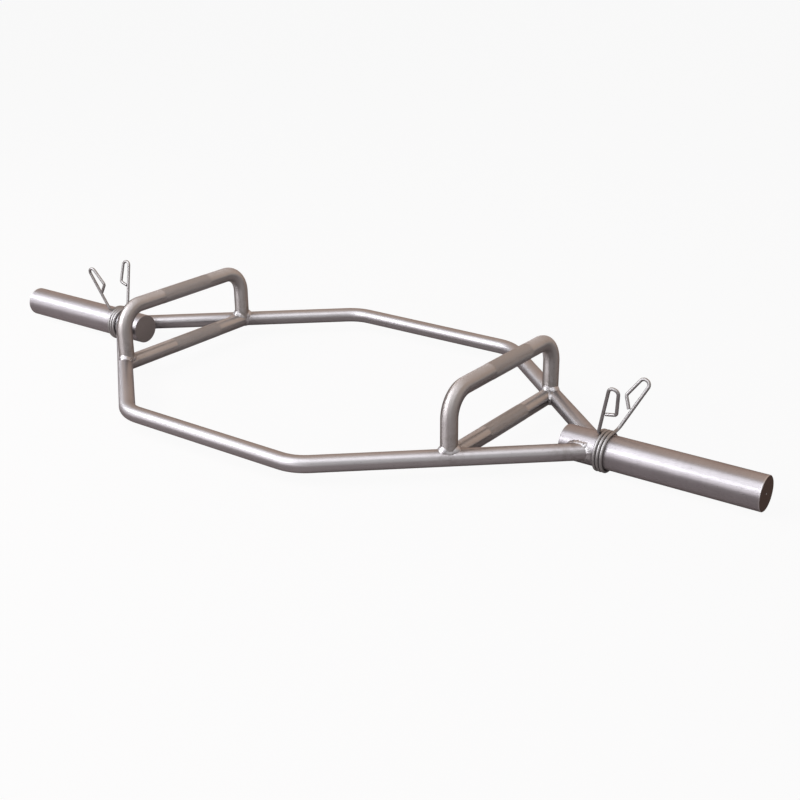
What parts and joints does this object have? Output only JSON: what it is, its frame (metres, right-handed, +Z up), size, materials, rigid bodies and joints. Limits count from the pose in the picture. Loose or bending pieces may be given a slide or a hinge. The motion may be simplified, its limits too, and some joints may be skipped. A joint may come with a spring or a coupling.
{
  "type": "hex trap bar",
  "caption": "Six-sided steel lifting frame with plate sleeves, knurled low and raised handles and spring collars that slide and squeeze open.",
  "frame": {"origin": "on the floor under the bar, midway between the handles", "axes": "+X along the right sleeve, +Y to the rear, +Z up"},
  "size_m": [1.4444, 0.5958, 0.139],
  "materials": {
    "frame_steel": "satin plated steel bar",
    "sleeve_steel": "turned satin steel",
    "handle_steel": "satin plated steel with a knurled middle",
    "weld_steel": "plated weld bead",
    "spring_wire": "plated spring wire"
  },
  "bodies": {
    "bar": {"front_frame_bar": "frame_steel", "rear_frame_bar": "frame_steel", "right_sleeve": "sleeve_steel", "right_low_handle": "handle_steel", "right_raised_handle": "handle_steel", "right_front_sleeve_weld": "weld_steel", "right_front_low_handle_weld": "weld_steel", "right_front_raised_handle_weld": "weld_steel", "right_rear_sleeve_weld": "weld_steel", "right_rear_low_handle_weld": "weld_steel", "right_rear_raised_handle_weld": "weld_steel", "left_sleeve": "sleeve_steel", "left_low_handle": "handle_steel", "left_raised_handle": "handle_steel", "left_front_sleeve_weld": "weld_steel", "left_front_low_handle_weld": "weld_steel", "left_front_raised_handle_weld": "weld_steel", "left_rear_sleeve_weld": "weld_steel", "left_rear_low_handle_weld": "weld_steel", "left_rear_raised_handle_weld": "weld_steel"},
    "right_collar_coil": {"right_collar_coil": "spring_wire"},
    "right_collar_inner_lever": {"right_collar_inner_lever": "spring_wire"},
    "right_collar_outer_lever": {"right_collar_outer_lever": "spring_wire"},
    "left_collar_coil": {"left_collar_coil": "spring_wire"},
    "left_collar_inner_lever": {"left_collar_inner_lever": "spring_wire"},
    "left_collar_outer_lever": {"left_collar_outer_lever": "spring_wire"}
  },
  "joints": [
    {"name": "right_collar_slide", "type": "slide", "parent": "bar", "child": "right_collar_coil", "axis": [1, 0, 0], "range_m": [0, 0.245]},
    {"name": "right_inner_squeeze", "type": "hinge", "parent": "right_collar_coil", "child": "right_collar_inner_lever", "pos_m": [0.491, 0, 0.0298], "axis": [-1, 0, 0], "range_deg": [0, 15], "stiffness_Nm_per_rad": 23, "deforming": ["right_collar_coil"]},
    {"name": "right_outer_squeeze", "type": "hinge", "parent": "right_collar_coil", "child": "right_collar_outer_lever", "pos_m": [0.491, 0, 0.0298], "axis": [1, 0, 0], "range_deg": [0, 15], "stiffness_Nm_per_rad": 23, "deforming": ["right_collar_coil"]},
    {"name": "left_collar_slide", "type": "slide", "parent": "bar", "child": "left_collar_coil", "axis": [-1, 0, 0], "range_m": [0, 0.245]},
    {"name": "left_inner_squeeze", "type": "hinge", "parent": "left_collar_coil", "child": "left_collar_inner_lever", "pos_m": [-0.491, 0, 0.0298], "axis": [1, 0, 0], "range_deg": [0, 13], "stiffness_Nm_per_rad": 23, "deforming": ["left_collar_coil"]},
    {"name": "left_outer_squeeze", "type": "hinge", "parent": "left_collar_coil", "child": "left_collar_outer_lever", "pos_m": [-0.491, 0, 0.0298], "axis": [-1, 0, 0], "range_deg": [0, 13], "stiffness_Nm_per_rad": 23, "deforming": ["left_collar_coil"]}
  ],
  "couplings": [
    {"joint": "right_outer_squeeze", "follows": "right_inner_squeeze", "ratio": 1},
    {"joint": "left_outer_squeeze", "follows": "left_inner_squeeze", "ratio": 1}
  ]
}
